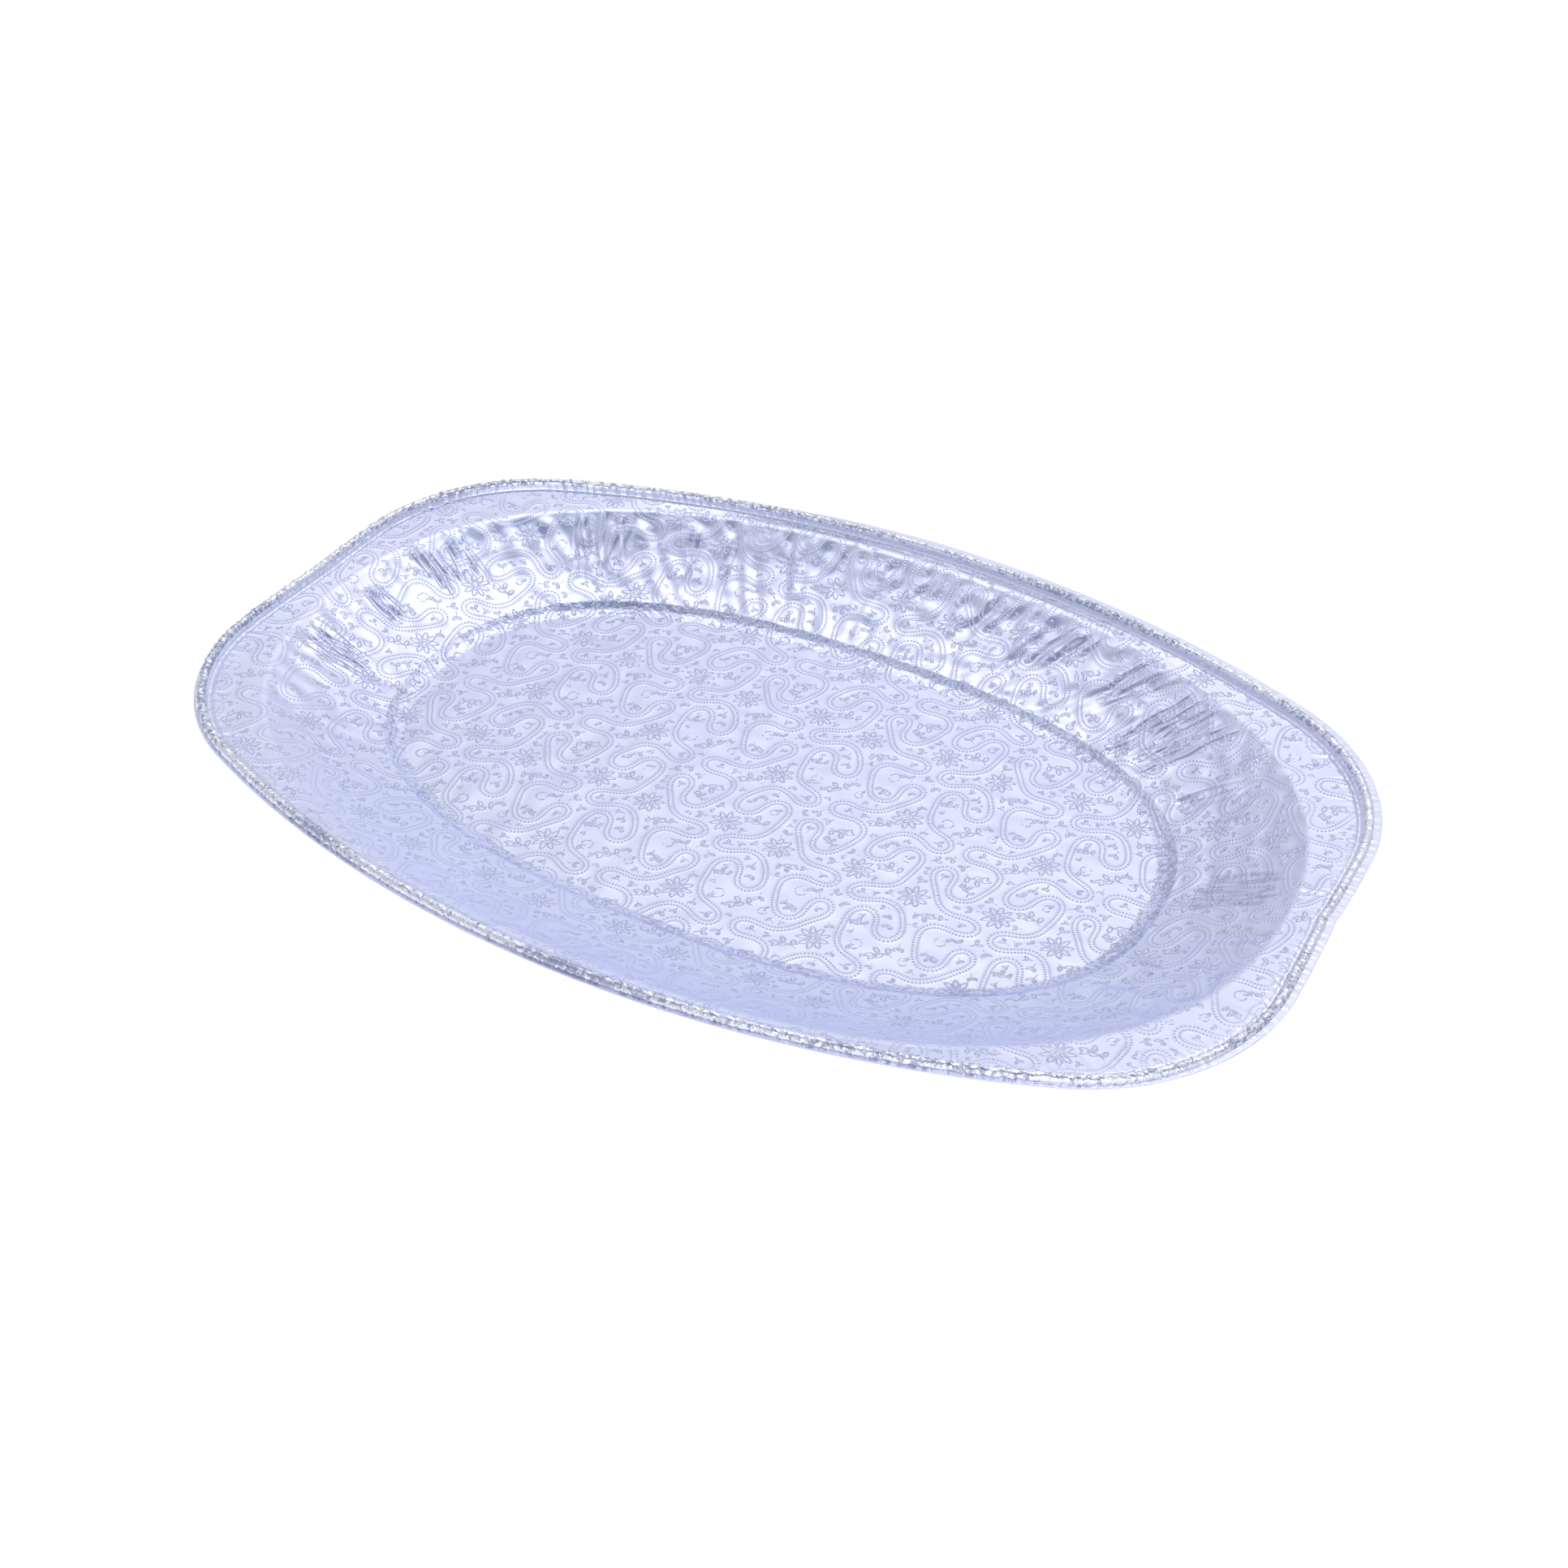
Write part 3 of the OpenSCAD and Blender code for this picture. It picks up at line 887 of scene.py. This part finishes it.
@functools.cache
def pressed_sheet():
    """The whole sheet: points, normals and marks of every point, and each zone's quads."""
    scene = bpy.context.scene
    sizes, emboss, folds = scene.tray_sizes, scene.tray_emboss, scene.tray_folds
    floor_x, floor_y = floor_grid(sizes)
    floor_count = floor_x.size
    edge = grid_edge()
    stations = len(edge)
    station_angle = np.arctan2(floor_y.ravel()[edge], floor_x.ravel()[edge])
    reach, height, first = profile_rows(station_angle, sizes)
    rows = len(reach)

    # Row 0 is the floor's own edge; the other rows follow the floor's points
    ring = np.empty((rows, stations), np.int64)
    ring[0] = edge
    ring[1:] = floor_count + np.arange((rows - 1) * stations).reshape(rows - 1, stations)

    def gather(floor_value, ring_value):
        """One value for every point, from the floor's and from the rows'."""
        floor_values = np.broadcast_to(floor_value, floor_count)
        return np.concatenate([floor_values.ravel(), ring_value[1:].ravel()])

    across = np.cos(station_angle), np.sin(station_angle)
    points = np.stack([
        gather(floor_x.ravel(), reach * across[0]),
        gather(floor_y.ravel(), reach * across[1]),
        gather(FOIL, height),
    ], axis=1)
    run = np.hypot(np.diff(reach, axis=0), np.diff(height, axis=0))
    unrolled = reach[0] + np.concatenate([np.zeros((1, stations)), np.cumsum(run, axis=0)])
    flat = np.stack([
        gather(floor_x.ravel(), unrolled * across[0]),
        gather(floor_y.ravel(), unrolled * across[1]),
    ], axis=1)

    row_number = np.arange(rows)[:, None] + np.zeros((1, stations))
    climb = (row_number - first["wall"]) / ROWS["wall"]
    rim = (row_number - first["flange"]) / ROWS["flange"]
    curl_share = np.clip((row_number - first["curl"]) / ROWS["curl"], 0, 1)
    curl_turn = mix(math.pi, curl_finish(station_angle, sizes), curl_share)
    spread = {name: zone_values(name, first, rows)[:, None] + np.zeros((1, stations))
              for name in ("imprint", "dented", "crushed")}
    sheet = {
        "station_angle": station_angle,
        "station": gather(0, np.broadcast_to(np.arange(stations), (rows, stations))).astype(int),
        "angle": gather(np.arctan2(floor_y, floor_x).ravel(), station_angle + 0 * reach),
        "reach": gather(np.hypot(floor_x, floor_y).ravel(), reach),
        "climb": gather(-1.0, climb),
        "rim": gather(-1.0, rim),
        "curl_turn": gather(0.0, curl_turn),
        "imprint": gather(ZONES["floor"]["imprint"], spread["imprint"]),
        "dented": gather(ZONES["floor"]["dented"], spread["dented"]),
        "crushed": gather(0.0, spread["crushed"]),
    }

    index = np.arange(floor_count).reshape(floor_x.shape)
    corners = index[:-1, :-1], index[1:, :-1], index[1:, 1:], index[:-1, 1:]
    quads = {"floor": np.stack([c.ravel() for c in corners], axis=1)}
    after = np.roll(ring, -1, axis=1)
    starts = list(first.values())
    for zone, low, high in zip(ROWS, starts, starts[1:]):
        corners = ring[low:high], ring[low + 1:high + 1], after[low + 1:high + 1], after[low:high]
        quads[zone] = np.stack([c.ravel() for c in corners], axis=1)
    every_quad = np.concatenate(list(quads.values()))

    ribbon, beads, leaf, stem = pattern_fields(flat, emboss)
    raised = np.maximum(smooth(*RIBBON_RISE, ribbon), LEAF_HEIGHT * smooth(*LEAF_RISE, leaf))
    surface, pinch = handled_surface(sheet, flat, folds)
    surface = surface + emboss.relief * raised * sheet["imprint"]
    points = points + quad_normals(points, every_quad) * surface[:, None]
    for direction, width, depth in KNOCKS:
        off = turn_from(sheet["angle"], direction) * sheet["reach"]
        push = depth * np.exp(-(off / width) ** 2) * smooth(*KNOCK_REACH, sheet["rim"])
        points[:, 0] -= push * np.cos(sheet["angle"])
        points[:, 1] -= push * np.sin(sheet["angle"])
    return {
        "points": points,
        "normals": quad_normals(points, every_quad),
        "quads": quads,
        "ribbon_marks": np.stack([ribbon, beads, sheet["imprint"]], axis=1),
        "leaf_marks": np.stack([leaf, stem, pinch], axis=1),
        "crease_way": crease_way(sheet),
    }


def zone_piece(name, zone, node, material):
    """Makes the piece of one zone, in its own place on the sheet."""
    sheet = pressed_sheet()
    used, quads = np.unique(sheet["quads"][zone], return_inverse=True)
    quads = quads.reshape(-1, 4)
    mesh = bpy.data.meshes.new(name)
    mesh.vertices.add(len(used))
    mesh.vertices.foreach_set("co", sheet["points"][used].astype(np.float32).ravel())
    mesh.loops.add(quads.size)
    mesh.loops.foreach_set("vertex_index", quads.ravel().astype(np.int32))
    mesh.polygons.add(len(quads))
    mesh.polygons.foreach_set("loop_start", np.arange(0, quads.size, 4, dtype=np.int32))
    mesh.update(calc_edges=True)
    mesh.validate()
    mesh.shade_smooth()
    mesh.normals_split_custom_set_from_vertices(sheet["normals"][used].astype(np.float32))
    for marks in ("ribbon_marks", "leaf_marks", "crease_way"):
        attribute = mesh.attributes.new(marks, "FLOAT_VECTOR", "POINT")
        attribute.data.foreach_set("vector", sheet[marks][used].astype(np.float32).ravel())
    piece = bpy.data.objects.new(name, mesh)
    bpy.context.scene.collection.objects.link(piece)
    mesh.materials.append(material)
    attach(piece, BODY)
    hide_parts(node)
    return piece


# ---- Shader node helpers ----

def add_node(tree, kind, settings=None, **inputs):
    """A shader node of that kind. Its inputs are set or linked, by their names with _ for a space
    or, as i0, i1 and so on, by their numbers."""
    node = tree.nodes.new("ShaderNode" + kind)
    for key, value in (settings or {}).items():
        setattr(node, key, value)
    for key, value in inputs.items():
        numbered = key[0] == "i" and key[1:].isdigit()
        socket = node.inputs[int(key[1:]) if numbered else key.replace("_", " ")]
        if isinstance(value, bpy.types.NodeSocket):
            tree.links.new(value, socket)
        else:
            socket.default_value = value
    return node


def empty_tree(owner):
    """The node tree of a new material or world, with no nodes."""
    owner.use_nodes = True
    owner.node_tree.nodes.clear()
    return owner.node_tree


def math_node(tree, operation, first, second=0.0, third=0.0):
    return add_node(tree, "Math", {"operation": operation}, i0=first, i1=second,
                    i2=third).outputs[0]


def noise(tree, way, scale, settings=None, **inputs):
    return add_node(tree, "TexNoise", settings, Vector=way, Scale=scale, **inputs).outputs[0]


def bump(tree, height, depth, **inputs):
    return add_node(tree, "Bump", Height=height, Strength=1.0, Distance=depth,
                    **inputs).outputs[0]


def mesh_marks(tree, name):
    """What the sheet's points carry under that name."""
    return add_node(tree, "Attribute", {"attribute_name": name}).outputs["Vector"]


def split(tree, vector):
    return add_node(tree, "SeparateXYZ", Vector=vector).outputs


def soft_line(tree, value, off, on):
    """1 where value is at on, 0 where it is at off, and soft between."""
    return add_node(tree, "MapRange", {"interpolation_type": "SMOOTHSTEP"},
                    Value=value, From_Min=off, From_Max=on, To_Min=0.0, To_Max=1.0).outputs[0]


def new_group(name, inputs, outputs):
    """An empty node group with those sockets, as (group, its inputs, its outputs)."""
    group = bpy.data.node_groups.new(name, "ShaderNodeTree")
    for label, value in inputs.items():
        kind = "NodeSocketVector" if isinstance(value, tuple) else "NodeSocketFloat"
        socket = group.interface.new_socket(label, in_out="INPUT", socket_type=kind)
        socket.default_value = value
    for label in outputs:
        group.interface.new_socket(label, in_out="OUTPUT", socket_type="NodeSocketFloat")
    given, result = group.nodes.new("NodeGroupInput"), group.nodes.new("NodeGroupOutput")
    return group, given.outputs, result.inputs


def placed_group(tree, group, **inputs):
    return add_node(tree, "Group", {"node_tree": group}, **inputs)


# Beads, border lines, leaf outlines and stems: the distances from their middles at which they end
# and are whole, in millimetres, and the border's depth beside the others'
BEAD_SPAN = (0.50, 0.12)
BORDER_SPAN = (0.26, 0.04)
OUTLINE_SPAN = (0.30, 0.04)
STEM_SPAN = (0.34, 0.06)
BORDER_SHARE = 0.15
# Fineness of the rolling lines, the blotches, the patches, the creases and the specks
ROLLING_SCALE = 900.0
BLOTCH_SCALE = 55.0
PATCH_SCALE = 22.0
CREASE_SCALE = 110.0
SPECK_SCALE = 620.0
# The rolling lines are drawn out along the tray
ROLLING_STRETCH = (0.04, 1.0, 1.0)
ROLLING_DEPTH = 0.002 * MM
# How pinched the foil is where its creases, and where its painted fold shade, set in and are whole
CREASE_PINCH = (0.05, 0.7)
SHADE_PINCH = (0.35, 1.0)
# How far the foil's colour goes towards the shade colour where the folds are: painted shade
FOLD_SHADE = 0.3
# Specks: how much patches gather them, the noise at which they set in and are whole, how dark and
# how deep they are
PATCH_SHARE = 0.5
SPECK_LEVEL = (0.52, 0.60)
SPECK_DARKNESS = 0.85
SPECK_DEPTH = 0.5 * MM
# Least and most of the blotches' noise, and the roughness they add there
BLOTCH_LEVEL = (0.3, 0.7)
BLOTCH_ROUGHNESS = (-0.01, 0.05)


@functools.cache
def emboss_group():
    """Lines: beads and borders of the ribbons, outlines of the leaves, and stems. Pinch: folds."""
    group, given, result = new_group(
        "foil_emboss", {"Ribbon Marks": (0, 0, 0), "Leaf Marks": (0, 0, 0)}, ("Lines", "Pinch"))
    ribbon = split(group, given["Ribbon Marks"])
    leaf = split(group, given["Leaf Marks"])
    row_off = math_node(group, "SUBTRACT", ribbon["X"], BEAD_ROW)
    step_off = math_node(group, "SUBTRACT", math_node(group, "FRACT", ribbon["Y"]), 0.5)
    step_off = math_node(group, "MULTIPLY", step_off, BEAD_PITCH / MM)
    squares = [math_node(group, "MULTIPLY", off, off) for off in (row_off, step_off)]
    bead_off = math_node(group, "SQRT", math_node(group, "ADD", *squares))
    border_off = math_node(group, "SUBTRACT", ribbon["X"], BORDER_ROW)
    border_off = math_node(group, "ABSOLUTE", border_off)
    outline_off = math_node(group, "ABSOLUTE", leaf["X"])
    beads = soft_line(group, bead_off, *BEAD_SPAN)
    border = soft_line(group, border_off, *BORDER_SPAN)
    border = math_node(group, "MULTIPLY", border, BORDER_SHARE)
    outline = soft_line(group, outline_off, *OUTLINE_SPAN)
    stems = soft_line(group, leaf["Y"], *STEM_SPAN)
    lines = math_node(group, "MAXIMUM", math_node(group, "MAXIMUM", beads, border),
                      math_node(group, "MAXIMUM", outline, stems))
    lines = math_node(group, "MULTIPLY", lines, ribbon["Z"])
    group.links.new(lines, result["Lines"])
    group.links.new(leaf["Z"], result["Pinch"])
    return group


@functools.cache
def grain_group():
    """Fine rolling lines, soft blotches and wide patches, each from 0 to 1."""
    group, given, result = new_group(
        "foil_grain", {"Rolling Scale": ROLLING_SCALE, "Blotch Scale": BLOTCH_SCALE},
        ("Rolling", "Blotch", "Patch"))
    place = add_node(group, "TexCoord").outputs["Object"]
    drawn = add_node(group, "Mapping", Vector=place, Scale=ROLLING_STRETCH).outputs[0]
    rolling = noise(group, drawn, given["Rolling Scale"], Detail=2.0, Roughness=0.6)
    blotch = noise(group, place, given["Blotch Scale"], Detail=3.0, Roughness=0.55)
    patch = noise(group, place, PATCH_SCALE, Detail=1.0)
    group.links.new(rolling, result["Rolling"])
    group.links.new(blotch, result["Blotch"])
    group.links.new(patch, result["Patch"])
    return group


@functools.cache
def crease_group():
    """Fine creases that run up the wall, where it is pinched, as a height from 0 to 1."""
    group, given, result = new_group(
        "foil_creases", {"Way": (0, 0, 0), "Pinch": 0.0, "Scale": CREASE_SCALE}, ("Height",))
    creases = noise(group, given["Way"], given["Scale"], {"noise_type": "RIDGED_MULTIFRACTAL"},
                    Detail=1.0)
    where = soft_line(group, given["Pinch"], *CREASE_PINCH)
    group.links.new(math_node(group, "MULTIPLY", creases, where), result["Height"])
    return group


def foil_material(name, painted_light, speckle_share):
    """Bright foil: how far its colour is lightened towards white as painted light, and its share of
    the speckle.
    """
    finish_and_painted_light = bpy.context.scene.tray_finish
    # Painted light: the groove, the curl and the lip are paler copies of the same foil
    foil_with_painted_light = [mix(part, 1.0, painted_light) for part in finish_and_painted_light.tint]
    material = bpy.data.materials.new(name)
    tree = empty_tree(material)
    marks = placed_group(tree, emboss_group(), Ribbon_Marks=mesh_marks(tree, "ribbon_marks"),
                         Leaf_Marks=mesh_marks(tree, "leaf_marks")).outputs
    grain = placed_group(tree, grain_group()).outputs
    creases = placed_group(tree, crease_group(), Way=mesh_marks(tree, "crease_way"),
                           Pinch=marks["Pinch"]).outputs
    # Painted shade: the foil's colour is darkened beside each fold
    folded = soft_line(tree, marks["Pinch"], *SHADE_PINCH)
    folded = math_node(tree, "MULTIPLY", folded, FOLD_SHADE)
    # Painted shade on the beads, borders, leaf outlines and stems
    painted_mark_shade = math_node(tree, "MULTIPLY", marks["Lines"], finish_and_painted_light.mark_shade)
    dark = math_node(tree, "MAXIMUM", folded, painted_mark_shade)
    normal = bump(tree, marks["Lines"], finish_and_painted_light.mark_depth)
    normal = bump(tree, grain["Rolling"], ROLLING_DEPTH, Normal=normal)
    normal = bump(tree, creases["Height"], finish_and_painted_light.crease_depth, Normal=normal)
    if speckle_share:
        place = add_node(tree, "TexCoord").outputs["Object"]
        speckle = noise(tree, place, SPECK_SCALE, Detail=2.0, Roughness=0.6)
        level = math_node(tree, "SUBTRACT", speckle, PATCH_SHARE / 2)
        level = math_node(tree, "MULTIPLY_ADD", grain["Patch"], PATCH_SHARE, level)
        specks = soft_line(tree, level, *SPECK_LEVEL)
        specks = math_node(tree, "MULTIPLY", specks, SPECK_DARKNESS * speckle_share)
        dark = math_node(tree, "MAXIMUM", dark, specks)
        normal = bump(tree, speckle, SPECK_DEPTH * speckle_share, Normal=normal)
    # The foil's colour goes towards the shade colour by the painted shade of the folds and the
    # marks, and by the specks
    tint = add_node(tree, "Mix", {"data_type": "RGBA"}, i0=dark,
                    i6=(*foil_with_painted_light, 1), i7=(*finish_and_painted_light.shade_and_speck_colour, 1)).outputs[2]
    rough = add_node(tree, "MapRange", Value=grain["Blotch"],
                     From_Min=BLOTCH_LEVEL[0], From_Max=BLOTCH_LEVEL[1],
                     To_Min=finish_and_painted_light.roughness + BLOTCH_ROUGHNESS[0],
                     To_Max=finish_and_painted_light.roughness + BLOTCH_ROUGHNESS[1]).outputs[0]
    shader = add_node(tree, "BsdfPrincipled", Base_Color=tint, Metallic=1.0,
                      Roughness=rough, Normal=normal)
    add_node(tree, "OutputMaterial", Surface=shader.outputs[0])
    return material


# ---- Operators, one for each zone of the sheet ----

class PressZone:
    """What the zones' operators share. Each zone's tuple gives how far its colour is lightened
    towards white as painted light, and its share of the speckle.
    """

    bl_options = {"REGISTER", "UNDO"}
    piece = zone = node = slot = ""
    finish_and_painted_light = (0.0, 0.0)

    def execute(self, context):
        material = foil_material(self.piece + "_foil", *self.finish_and_painted_light)
        zone_piece(self.piece, self.zone, self.node, material)
        return {"FINISHED"}


class FOILTRAY_OT_floor(PressZone, bpy.types.Operator):
    """Press the flat floor"""

    bl_idname = "foil_tray.floor"
    bl_label = "Floor"
    piece, zone, node, slot = "floor_sheet", "floor", "base_panel", "floor_foil"


class FOILTRAY_OT_step(PressZone, bpy.types.Operator):
    """Press the step round the floor"""

    bl_idname = "foil_tray.step"
    bl_label = "Step"
    piece, zone, node, slot = "step_ring", "step", "base_step", "wall_foil"
    finish_and_painted_light = (0.0, 0.5)


class FOILTRAY_OT_wall(PressZone, bpy.types.Operator):
    """Press the sloped wall with its folds"""

    bl_idname = "foil_tray.wall"
    bl_label = "Wall"
    piece, zone, node, slot = "wall_sheet", "wall", "side_wall", "wall_foil"


class FOILTRAY_OT_shoulder(PressZone, bpy.types.Operator):
    """Press the rounded shoulder between wall and rim"""

    bl_idname = "foil_tray.shoulder"
    bl_label = "Shoulder"
    piece, zone, node, slot = "shoulder_band", "shoulder", "wall_shoulder", "wall_foil"


class FOILTRAY_OT_rim(PressZone, bpy.types.Operator):
    """Press the flat rim"""

    bl_idname = "foil_tray.rim"
    bl_label = "Rim"
    piece, zone, node, slot = "rim_sheet", "flange", "rim_flange", "rim_foil"


class FOILTRAY_OT_groove(PressZone, bpy.types.Operator):
    """Press the groove inside the curl"""

    bl_idname = "foil_tray.groove"
    bl_label = "Groove"
    piece, zone, node, slot = "groove_channel", "groove", "rim_groove", "rim_foil"
    finish_and_painted_light = (0.3, 0.0)


class FOILTRAY_OT_curl(PressZone, bpy.types.Operator):
    """Roll the curled edge"""

    bl_idname = "foil_tray.curl"
    bl_label = "Curl"
    piece, zone, node, slot = "edge_curl", "curl", "rolled_edge", "edge_foil"
    finish_and_painted_light = (0.5, 0.8)


class FOILTRAY_OT_lip(PressZone, bpy.types.Operator):
    """Fold the lip outside the curl"""

    bl_idname = "foil_tray.lip"
    bl_label = "Lip"
    piece, zone, node, slot = "outer_lip", "lip", "edge_lip", "edge_foil"
    finish_and_painted_light = (0.15, 0.1)


# ---- Stage: floor, light and camera ----

# Brightness of the soft light at each rise above the table, in degrees: 0 is the far side's
# horizon, 90 is overhead and 180 is the near side's horizon
LIGHT_BAND = ((-180, 1.0), (-90, 1.0), (-20, 1.0), (4, 0.96), (20, 0.82), (32, 0.94), (38, 1.05),
              (51, 1.10), (61, 1.8), (74, 1.8), (82, 0.88), (90, 0.38), (114, 0.18), (126, 0.9),
              (138, 1.7), (165, 1.5), (180, 1.1))
# How much bluer than grey the darkest light is
COOLNESS = 0.5
# Straight aside is 1. The light is brightest a little aside, at LIGHT_MIDDLE. FADE_SPAN is how far
# from there it begins and ends to fade to the share FADED, and SIDE_SPAN how far from there it
# begins and ends to turn into SIDE_LIGHT
LIGHT_MIDDLE = 0.14
FADE_SPAN = (0.06, 0.62)
FADED = 0.66
SIDE_SPAN = (0.3, 0.8)
SIDE_LIGHT = (0.93, 0.96, 1.04)
# Height of what the camera aims at, and how far it is then moved to its own right and down, in
# millimetres, and the nearest and farthest that it sees, in metres
AIM_HEIGHT = 23.9
CAMERA_RIGHT = 5.4
CAMERA_DOWN = 19.2
CLIP = (0.01, 100)


def dot_product(tree, way, axis):
    return add_node(tree, "VectorMath", {"operation": "DOT_PRODUCT"}, i0=way,
                    i1=axis).outputs["Value"]


def soft_studio(stage):
    """World light that changes with the rise above the far side of the table."""
    world = bpy.data.worlds.new("soft_studio")
    tree = empty_tree(world)
    c, s = math.cos(stage.camera_turn), math.sin(stage.camera_turn)
    way = add_node(tree, "TexCoord").outputs["Generated"]
    forward = dot_product(tree, way, (-s, c, 0))
    side = dot_product(tree, way, (c, s, 0))
    rise = math_node(tree, "ARCTAN2", split(tree, way)["Z"], forward)
    share = math_node(tree, "ADD", math_node(tree, "DIVIDE", rise, FULL_TURN), 0.5)
    ramp = add_node(tree, "ValToRGB", Fac=share)
    ramp.color_ramp.interpolation = "EASE"
    brightest = max(value for _, value in LIGHT_BAND)
    stops = ramp.color_ramp.elements
    while len(stops) < len(LIGHT_BAND):
        stops.new(0.5)
    for stop, (degrees, value) in zip(stops, LIGHT_BAND):
        stop.position = degrees / 360 + 0.5
        cool = COOLNESS * max(1 - value, 0)
        colour = (1 - cool, 1 - cool / 2, 1 + cool / 2)
        stop.color = (*[value / brightest * part for part in colour], 1)
    off_side = math_node(tree, "ABSOLUTE", math_node(tree, "SUBTRACT", side, LIGHT_MIDDLE))
    fade = add_node(tree, "MapRange", {"interpolation_type": "SMOOTHSTEP"},
                    Value=off_side, From_Min=FADE_SPAN[0], From_Max=FADE_SPAN[1],
                    To_Min=stage.sky_strength * brightest,
                    To_Max=stage.sky_strength * brightest * FADED).outputs[0]
    side_colour = [part / brightest for part in SIDE_LIGHT]
    colour = add_node(tree, "Mix", {"data_type": "RGBA"},
                      i0=soft_line(tree, off_side, *SIDE_SPAN), i6=ramp.outputs[0],
                      i7=(*side_colour, 1)).outputs[2]
    light = add_node(tree, "Background", Color=colour, Strength=fade)
    add_node(tree, "OutputWorld", Surface=light.outputs[0])
    bpy.context.scene.world = world


def pale_floor(stage):
    """A wide pale floor, white where it is looked at and brighter in reflections."""
    half, level = 30.0, -0.4 * MM
    corners = [(half * x, half * y, level) for x, y in ((-1, -1), (1, -1), (1, 1), (-1, 1))]
    mesh = bpy.data.meshes.new("pale_floor")
    mesh.from_pydata(corners, [], [(0, 1, 2, 3)])
    floor = bpy.data.objects.new("pale_floor", mesh)
    bpy.context.scene.collection.objects.link(floor)
    material = bpy.data.materials.new("pale_floor")
    tree = empty_tree(material)
    seen = add_node(tree, "LightPath").outputs["Is Camera Ray"]
    bright = add_node(tree, "MapRange", Value=seen, To_Min=stage.floor_grey,
                      To_Max=1.0).outputs[0]
    glow = add_node(tree, "Emission", Strength=bright)
    add_node(tree, "OutputMaterial", Surface=glow.outputs[0])
    mesh.materials.append(material)


def place_camera(stage):
    """The camera looks down at the tray from its near right side."""
    turn, rise, roll = stage.camera_turn, stage.camera_rise, stage.camera_roll
    level = math.cos(rise)
    back = Vector((math.sin(turn) * level, -math.cos(turn) * level, math.sin(rise)))
    across = Vector((math.cos(turn), math.sin(turn), 0))
    upward = back.cross(across)
    right = across * math.cos(roll) + upward * math.sin(roll)
    above = upward * math.cos(roll) - across * math.sin(roll)
    aim = Vector((0, 0, AIM_HEIGHT * MM))
    camera = bpy.data.objects.new("camera", bpy.data.cameras.new("camera"))
    camera.data.lens = stage.lens
    camera.data.clip_start, camera.data.clip_end = CLIP
    place = aim + back * stage.camera_distance
    place = place + right * CAMERA_RIGHT * MM - above * CAMERA_DOWN * MM
    axes = Matrix((right, above, back)).transposed().to_4x4()
    camera.matrix_world = Matrix.Translation(place) @ axes
    bpy.context.scene.collection.objects.link(camera)
    bpy.context.scene.camera = camera


class FOILTRAY_OT_stage(bpy.types.Operator):
    """Set up the pale floor, the soft light and the camera"""

    bl_idname = "foil_tray.stage"
    bl_label = "Stage"
    bl_options = {"REGISTER", "UNDO"}

    def execute(self, context):
        stage = context.scene.tray_stage
        context.scene.view_settings.view_transform = "Standard"
        context.scene.cycles.denoising_prefilter = "NONE"
        soft_studio(stage)
        pale_floor(stage)
        place_camera(stage)
        return {"FINISHED"}


PRESS_ORDER = (FOILTRAY_OT_stage, FOILTRAY_OT_floor, FOILTRAY_OT_step, FOILTRAY_OT_wall,
               FOILTRAY_OT_shoulder, FOILTRAY_OT_rim, FOILTRAY_OT_groove, FOILTRAY_OT_curl,
               FOILTRAY_OT_lip)
SETTINGS = {"tray_sizes": TraySizes, "tray_emboss": TrayEmboss, "tray_folds": TrayFolds,
            "tray_finish": TrayFinish, "tray_stage": TrayStage}


class FOILTRAY_PT_panel(bpy.types.Panel):
    """Lists the zones of the tray and its settings"""

    bl_idname = "FOILTRAY_PT_panel"
    bl_label = "Foil Serving Tray"
    bl_space_type = "VIEW_3D"
    bl_region_type = "UI"
    bl_category = "Foil Tray"

    def draw(self, context):
        for operator in PRESS_ORDER:
            self.layout.operator(operator.bl_idname)
        for name, kind in SETTINGS.items():
            box = self.layout.box()
            for field in kind.__annotations__:
                box.prop(getattr(context.scene, name), field)


def register():
    for kind in (*SETTINGS.values(), *PRESS_ORDER, FOILTRAY_PT_panel):
        bpy.utils.register_class(kind)
    for name, kind in SETTINGS.items():
        setattr(bpy.types.Scene, name, PointerProperty(type=kind))


def unregister():
    for name in SETTINGS:
        delattr(bpy.types.Scene, name)
    for kind in (FOILTRAY_PT_panel, *PRESS_ORDER[::-1], *SETTINGS.values()):
        bpy.utils.unregister_class(kind)


def main():
    register()
    for operator in PRESS_ORDER:
        group, name = operator.bl_idname.split(".")
        if getattr(getattr(bpy.ops, group), name)() != {"FINISHED"}:
            raise RuntimeError(f"{operator.bl_label} was not made")


if __name__ == "__main__":
    main()
